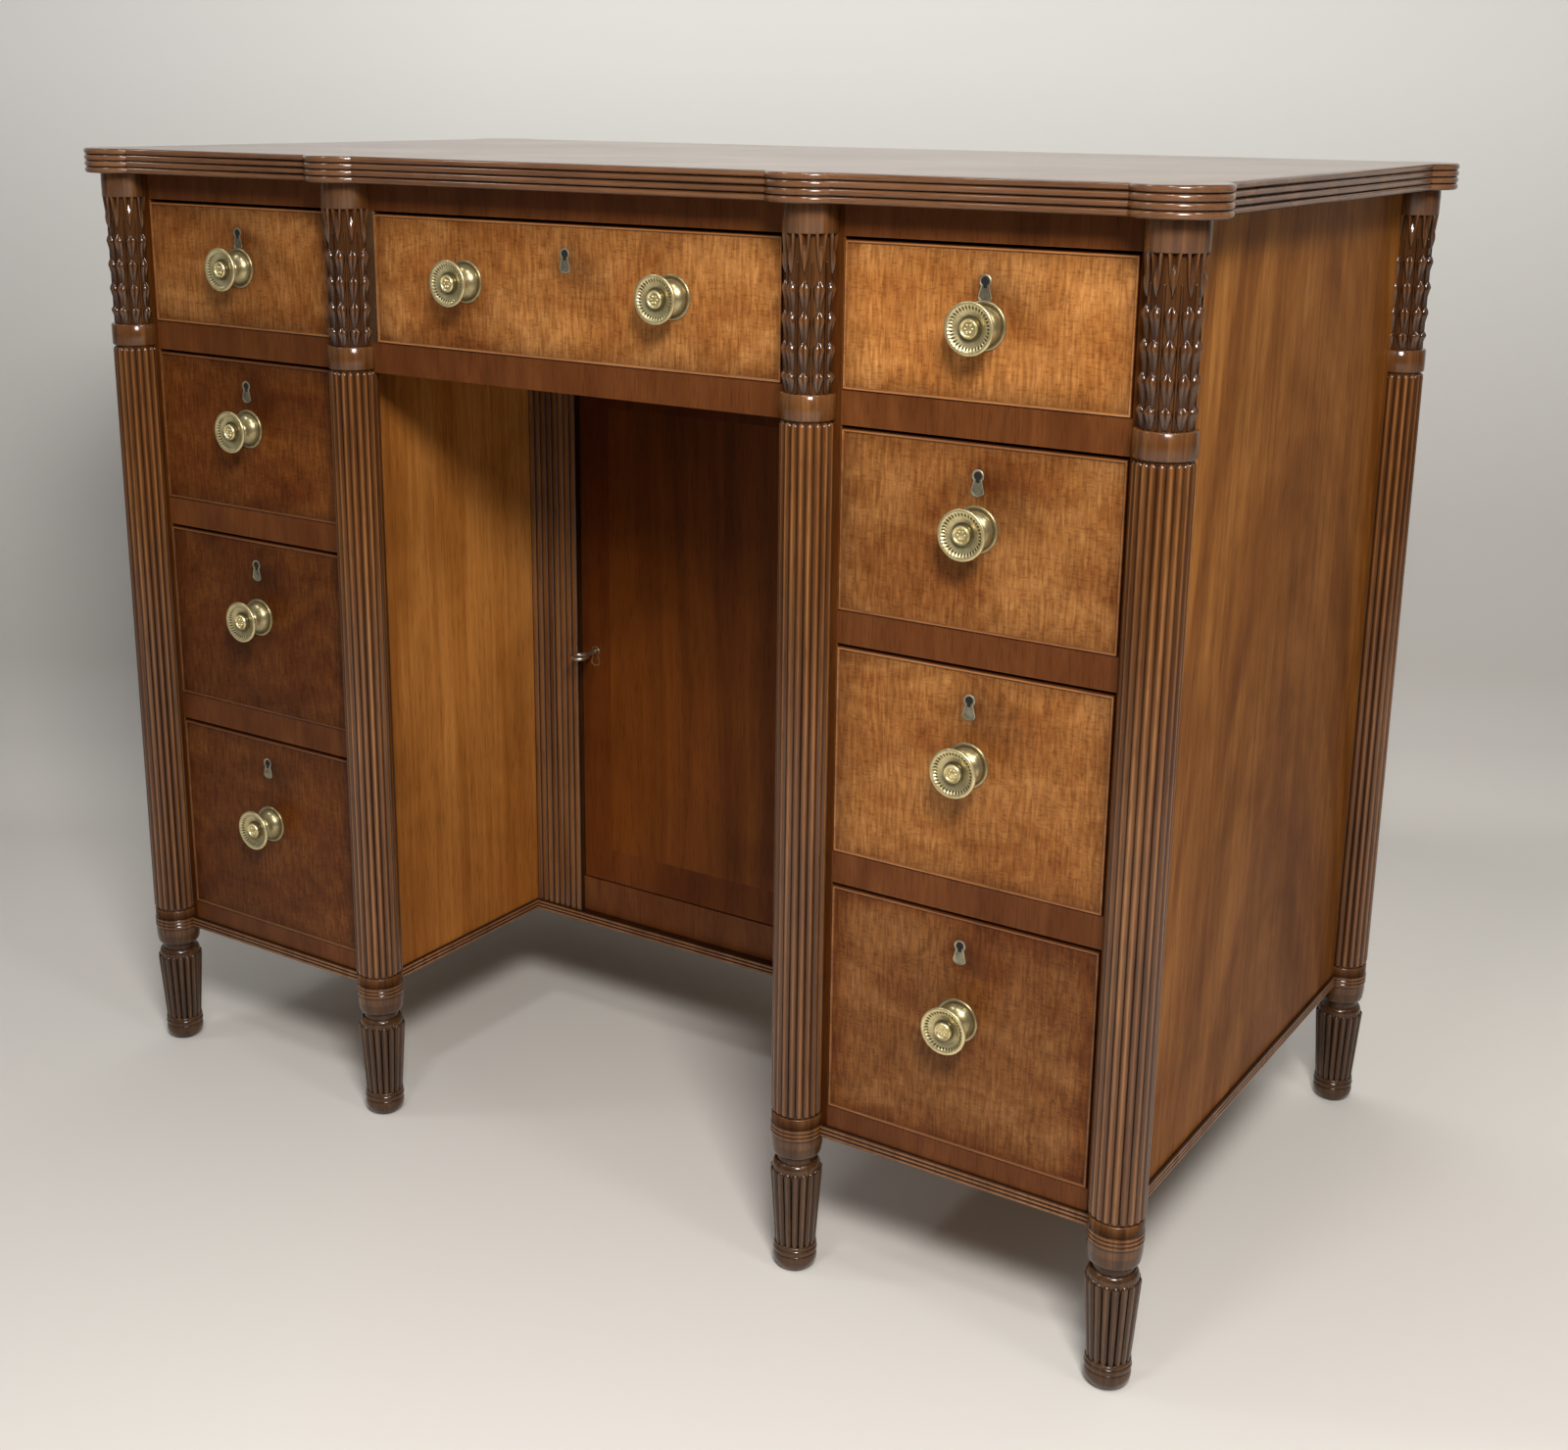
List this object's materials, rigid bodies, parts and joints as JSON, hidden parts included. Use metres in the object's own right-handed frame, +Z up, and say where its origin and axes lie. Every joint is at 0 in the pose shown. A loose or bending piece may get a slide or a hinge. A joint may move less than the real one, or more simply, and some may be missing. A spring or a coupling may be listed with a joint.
{
  "type": "kneehole desk",
  "caption": "Mahogany kneehole desk with reeded, leaf-carved corner posts, graduated drawers with brass pulls, a wide drawer over the kneehole and a cupboard behind it.",
  "frame": {"origin": "on the floor, under the middle of the overall box", "axes": "+X along the desk to the right as seen from the front, +Y from the front to the back, +Z up"},
  "size_m": [0.9529, 0.5318, 0.775],
  "materials": {
    "top_wood": "polished mahogany",
    "post_wood": "polished dark mahogany",
    "case_wood": "polished mahogany with a straight grain",
    "drawer_front_wood": "polished figured mahogany",
    "door_wood": "polished dark mahogany",
    "inner_wood": "plain unpolished oak",
    "brass": "aged brass",
    "steel": "worn steel"
  },
  "bodies": {
    "case": {"top": "top_wood", "post_front_outer_left": "post_wood", "post_front_inner_left": "post_wood", "post_front_inner_right": "post_wood", "post_front_outer_right": "post_wood", "post_back_left": "post_wood", "post_back_right": "post_wood", "side_panel_left": "case_wood", "side_panel_right": "case_wood", "kneehole_panel_left": "case_wood", "kneehole_panel_right": "case_wood", "back_panel": "inner_wood", "bottom_boards": "inner_wood", "drawer_rails_left": "case_wood", "drawer_rails_right": "case_wood", "drawer_runners_left": "inner_wood", "drawer_runners_right": "inner_wood", "centre_rails": "case_wood", "centre_runners": "inner_wood", "centre_guides": "inner_wood", "base_moulding": "case_wood", "cupboard_stile_left": "case_wood", "cupboard_stile_right": "case_wood", "cupboard_rails": "case_wood", "door_striker": "steel", "hinge_case_leaves": "brass"},
    "drawer_left_top": {"drawer_left_top_front": "drawer_front_wood", "drawer_left_top_box": "inner_wood", "drawer_left_top_fittings": "brass"},
    "drawer_left_upper": {"drawer_left_upper_front": "drawer_front_wood", "drawer_left_upper_box": "inner_wood", "drawer_left_upper_fittings": "brass"},
    "drawer_left_lower": {"drawer_left_lower_front": "drawer_front_wood", "drawer_left_lower_box": "inner_wood", "drawer_left_lower_fittings": "brass"},
    "drawer_left_bottom": {"drawer_left_bottom_front": "drawer_front_wood", "drawer_left_bottom_box": "inner_wood", "drawer_left_bottom_fittings": "brass"},
    "drawer_right_top": {"drawer_right_top_front": "drawer_front_wood", "drawer_right_top_box": "inner_wood", "drawer_right_top_fittings": "brass"},
    "drawer_right_upper": {"drawer_right_upper_front": "drawer_front_wood", "drawer_right_upper_box": "inner_wood", "drawer_right_upper_fittings": "brass"},
    "drawer_right_lower": {"drawer_right_lower_front": "drawer_front_wood", "drawer_right_lower_box": "inner_wood", "drawer_right_lower_fittings": "brass"},
    "drawer_right_bottom": {"drawer_right_bottom_front": "drawer_front_wood", "drawer_right_bottom_box": "inner_wood", "drawer_right_bottom_fittings": "brass"},
    "drawer_centre": {"drawer_centre_front": "drawer_front_wood", "drawer_centre_box": "inner_wood", "drawer_centre_fittings": "brass"},
    "door": {"door_frame": "door_wood", "door_panel": "door_wood", "door_lock": "brass", "hinge_door_leaves": "brass"},
    "key": {"door_key": "steel"},
    "bolt": {"door_bolt": "steel"}
  },
  "joints": [
    {"name": "drawer_left_top_slide", "type": "slide", "parent": "case", "child": "drawer_left_top", "axis": [0, -1, 0], "range_m": [0, 0.33]},
    {"name": "drawer_left_upper_slide", "type": "slide", "parent": "case", "child": "drawer_left_upper", "axis": [0, -1, 0], "range_m": [0, 0.33]},
    {"name": "drawer_left_lower_slide", "type": "slide", "parent": "case", "child": "drawer_left_lower", "axis": [0, -1, 0], "range_m": [0, 0.33]},
    {"name": "drawer_left_bottom_slide", "type": "slide", "parent": "case", "child": "drawer_left_bottom", "axis": [0, -1, 0], "range_m": [0, 0.33]},
    {"name": "drawer_right_top_slide", "type": "slide", "parent": "case", "child": "drawer_right_top", "axis": [0, -1, 0], "range_m": [0, 0.33]},
    {"name": "drawer_right_upper_slide", "type": "slide", "parent": "case", "child": "drawer_right_upper", "axis": [0, -1, 0], "range_m": [0, 0.33]},
    {"name": "drawer_right_lower_slide", "type": "slide", "parent": "case", "child": "drawer_right_lower", "axis": [0, -1, 0], "range_m": [0, 0.33]},
    {"name": "drawer_right_bottom_slide", "type": "slide", "parent": "case", "child": "drawer_right_bottom", "axis": [0, -1, 0], "range_m": [0, 0.33]},
    {"name": "drawer_centre_slide", "type": "slide", "parent": "case", "child": "drawer_centre", "axis": [0, -1, 0], "range_m": [0, 0.33]},
    {"name": "door_hinge", "type": "hinge", "parent": "case", "child": "door", "pos_m": [0.1521, -0.0264, 0.3735], "axis": [0, 0, 1], "range_deg": [0, 90]},
    {"name": "key_turn", "type": "hinge", "parent": "door", "child": "key", "pos_m": [-0.14, -0.023, 0.3575], "axis": [0, -1, 0], "range_deg": [0, 96]},
    {"name": "bolt_slide", "type": "slide", "parent": "door", "child": "bolt", "axis": [-1, 0, 0], "range_m": [0, 0.014]}
  ],
  "couplings": [
    {"joint": "key_turn", "follows": "bolt_slide", "rad_per_m": 112.2}
  ]
}
